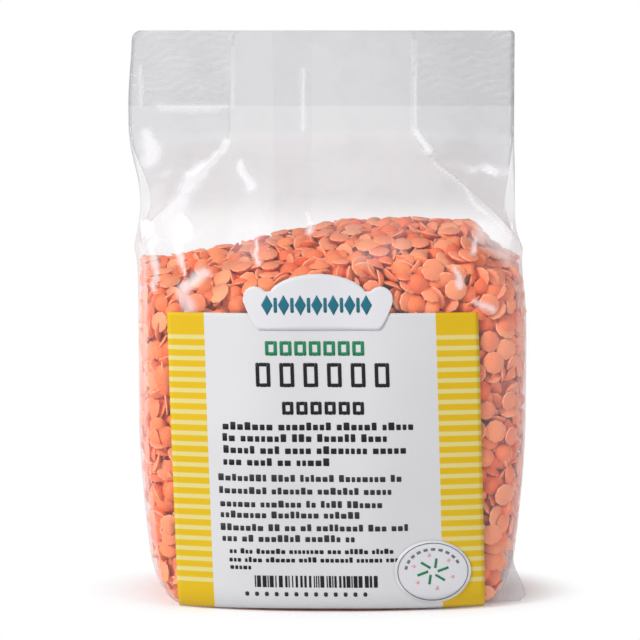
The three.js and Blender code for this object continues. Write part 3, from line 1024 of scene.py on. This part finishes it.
u = np.linspace(-badge_half, badge_half, 121)
points, faces, _ = paper(badge_u + u, badge_foot(u), badge_top(u), 12, badge_lift, 0.16)
piece("badge_sheet", points * MM, faces, badge_material(), "badge_paper", "badge")
teal = ink_material("teal_ink", (0.012, 0.105, 0.155, 1), (0.02, 0.14, 0.195, 1))
ornament_lift = badge_lift + 0.18
ornament_middle, ornament_half = (ornament_low + ornament_high) / 2, (ornament_high - ornament_low) / 2
lozenge_half = 1.15
lozenge = np.linspace(-lozenge_half, lozenge_half, 9)
rise = ornament_half * (1.02 - np.abs(lozenge) / lozenge_half)
teal_shapes = []
for at in np.linspace(-10.2, 10.2, 7) + badge_u + ornament_shift:
    low, high = ornament_middle - rise, ornament_middle + rise
    teal_shapes.append(paper(at + lozenge, low, high, 4, ornament_lift, ink_thickness)[:2])
for at in np.linspace(-8.5, 8.5, 6) + badge_u + ornament_shift:
    low, high = ornament_low + 0.5, ornament_high - 0.5
    teal_shapes.append(block(at - 0.35, at + 0.35, low, high, lift=ornament_lift))
piece("print_teal", *join(teal_shapes), teal, "badge_paper")

# The sticker. A small oval of pale paper near the label's lower corner, with a thin grey ring and a
# rosette of strokes and dots.

sticker_z, sticker_half, sticker_rise = 8.7, 8.0, 6.6
sticker_u = 20.9 - label_centre - label_lean * (1 - sticker_z / label_top)
sticker_lift = 0.46


def oval(count):
    """Columns across the oval and its half height at each."""
    angle = np.linspace(np.pi, 0, count)
    return sticker_half * np.cos(angle), np.maximum(sticker_rise * np.sin(angle), 0.05)


def stroke(line, width, lift):
    """A printed stroke along a line of (u, z) places."""
    line = np.asarray(line, float)
    run = unit(np.c_[np.gradient(line, axis=0), np.zeros(len(line))])[:, :2]
    side = np.c_[-run[:, 1], run[:, 0]] * width / 2
    across = np.stack([line - side, line + side], axis=1)
    outer = label_place(across[..., 0], across[..., 1], np.full(across.shape[:2], lift + ink_thickness))
    inner = label_place(across[..., 0], across[..., 1], np.full(across.shape[:2], lift))
    points, faces = joined_rings(np.concatenate([outer, inner[:, ::-1]], axis=1))
    return points, [face[::-1] for face in faces]


def around(radius, start, end, count):
    """Places along an oval arc, from one angle in degrees to another."""
    angle = np.radians(np.linspace(start, end, count))
    up = radius * sticker_rise / sticker_half * np.sin(angle)
    return np.c_[sticker_u + radius * np.cos(angle), sticker_z + up]


across, rise = oval(61)
points, faces, _ = paper(sticker_u + across, sticker_z - rise, sticker_z + rise, 8, sticker_lift, 0.14)
piece("sticker_sheet", points * MM, faces, badge_material(), "sticker_paper", "sticker")
top = sticker_lift + 0.16
ring = [stroke(around(7.35, start, start + 60.5, 12), 0.16, top) for start in range(0, 360, 60)]
ring += [stroke(around(5.7, start, start + 9, 4), 0.55, top) for start in range(20, 170, 16)]
spokes = []
for turn in range(0, 360, 60):
    inner_end, outer_end = around(1.0, turn, turn, 1)[0], around(3.4, turn + 16, turn + 16, 1)[0]
    spokes.append(stroke(blend(inner_end, outer_end, np.linspace(0, 1, 6)[:, None]), 0.5, top))
dots = [stroke(around(4.3, turn, turn + 8, 3), 0.7, top) for turn in range(36, 396, 60)]
ring_ink = ink_material("ring_ink", (0.1, 0.12, 0.15, 1), (0.16, 0.18, 0.21, 1))
pink_ink = ink_material("pink_ink", (0.7, 0.3, 0.34, 1), (0.8, 0.42, 0.46, 1))
piece("sticker_ring", *join(ring), ring_ink, "sticker_paper")
piece("sticker_spokes", *join(spokes), green_ink, "sticker_paper")
piece("sticker_dots", *join(dots), pink_ink, "sticker_paper")

# The studio. A plain white floor, a large soft light at the left, a weaker one at the right and one
# overhead, and a camera a little above the middle of the bag.


def floor_material():
    """White board that takes the bag's shadow and brightens to plain white away from it."""
    made, nodes = material("studio_floor")
    place = nodes.add("ShaderNodeTexCoord", {}, {}, out=3)
    cloud = nodes.noise(place, 3, 2)
    x, y = (nodes.add("ShaderNodeSeparateXYZ", {}, {0: place}, out=i) for i in range(2))
    lit = ((x * x * 0.3 + y * y) ** 0.5).rise(0.019, 0.031)
    skin = nodes.add("ShaderNodeBsdfPrincipled", {}, {
        "Base Color": nodes.mix(cloud, (0.93, 0.93, 0.935, 1), (0.95, 0.95, 0.955, 1)), "Roughness": 0.6})
    glow = nodes.add("ShaderNodeEmission", {}, {"Color": (1, 1, 1, 1), "Strength": 1.0})
    both = nodes.add("ShaderNodeMixShader", {}, {0: lit, 1: skin, 2: glow})
    nodes.add("ShaderNodeOutputMaterial", {}, {"Surface": both})
    return made


floor_reach, floor_level = 6.0, -0.0001
corners = [(x * floor_reach, y * floor_reach, floor_level) for x, y in ((-1, -1), (1, -1), (1, 1), (-1, 1))]
floor_mesh = bpy.data.meshes.new("studio_floor")
floor_mesh.from_pydata(corners, [], [(0, 1, 2, 3)])
floor_mesh.materials.append(floor_material())
floor = bpy.data.objects.new("studio_floor", floor_mesh)
bpy.context.scene.collection.objects.link(floor)


def soft_light(name, place, size, power):
    """A lit panel aimed at the middle of the bag."""
    data = bpy.data.lights.new(name, "AREA")
    data.shape = "RECTANGLE"
    data.size, data.size_y = size
    data.energy = power
    light = bpy.data.objects.new(name, data)
    light.location = place
    light.rotation_euler = (Vector((0, 0, 0.06)) - Vector(place)).to_track_quat("-Z", "Y").to_euler()
    bpy.context.scene.collection.objects.link(light)


soft_light("left_softbox", (-0.6, -0.44, 0.5), (0.24, 0.36), 7.9)
soft_light("right_softbox", (0.65, -0.5, 0.34), (0.25, 0.4), 1.75)
soft_light("overhead", (0.1, -0.1, 0.95), (1.3, 1.0), 2.4)

world = bpy.data.worlds.new("studio")
bpy.context.scene.world = world
world.use_nodes = True
sky = Nodes(world.node_tree)
seen, mirrored = (sky.add("ShaderNodeLightPath", {}, {}, out=i) for i in (0, 3))
white = sky.add("ShaderNodeBackground", {}, {"Color": (1, 1, 1, 1), "Strength": 1.0})
grey_room = sky.add("ShaderNodeBackground", {}, {"Color": (0.95, 0.96, 1, 1), "Strength": 0.08})
pale_room = sky.add("ShaderNodeBackground", {}, {"Color": (0.95, 0.96, 1, 1), "Strength": 0.85})
unseen = sky.add("ShaderNodeMixShader", {}, {0: mirrored, 1: grey_room, 2: pale_room})
around_bag = sky.add("ShaderNodeMixShader", {}, {0: seen, 1: unseen, 2: white})
sky.add("ShaderNodeOutputWorld", {}, {"Surface": around_bag})
bpy.context.scene.view_settings.view_transform = "Standard"

camera_distance, camera_rise, camera_turn = 0.45, math.radians(6), math.radians(0.31)
look_at = Vector((-0.00268, 0, 0.05923))
photo_width, focal_length_px = 640, 2081.6
level = math.cos(camera_rise)
away = Vector((math.sin(camera_turn) * level, -math.cos(camera_turn) * level, math.sin(camera_rise)))
camera_data = bpy.data.cameras.new("camera")
camera_data.sensor_width = 36
camera_data.lens = camera_data.sensor_width * focal_length_px / photo_width
camera = bpy.data.objects.new("camera", camera_data)
camera.location = look_at + away * camera_distance
camera.rotation_euler = (-away).to_track_quat("-Z", "Y").to_euler()
bpy.context.scene.collection.objects.link(camera)
bpy.context.scene.camera = camera
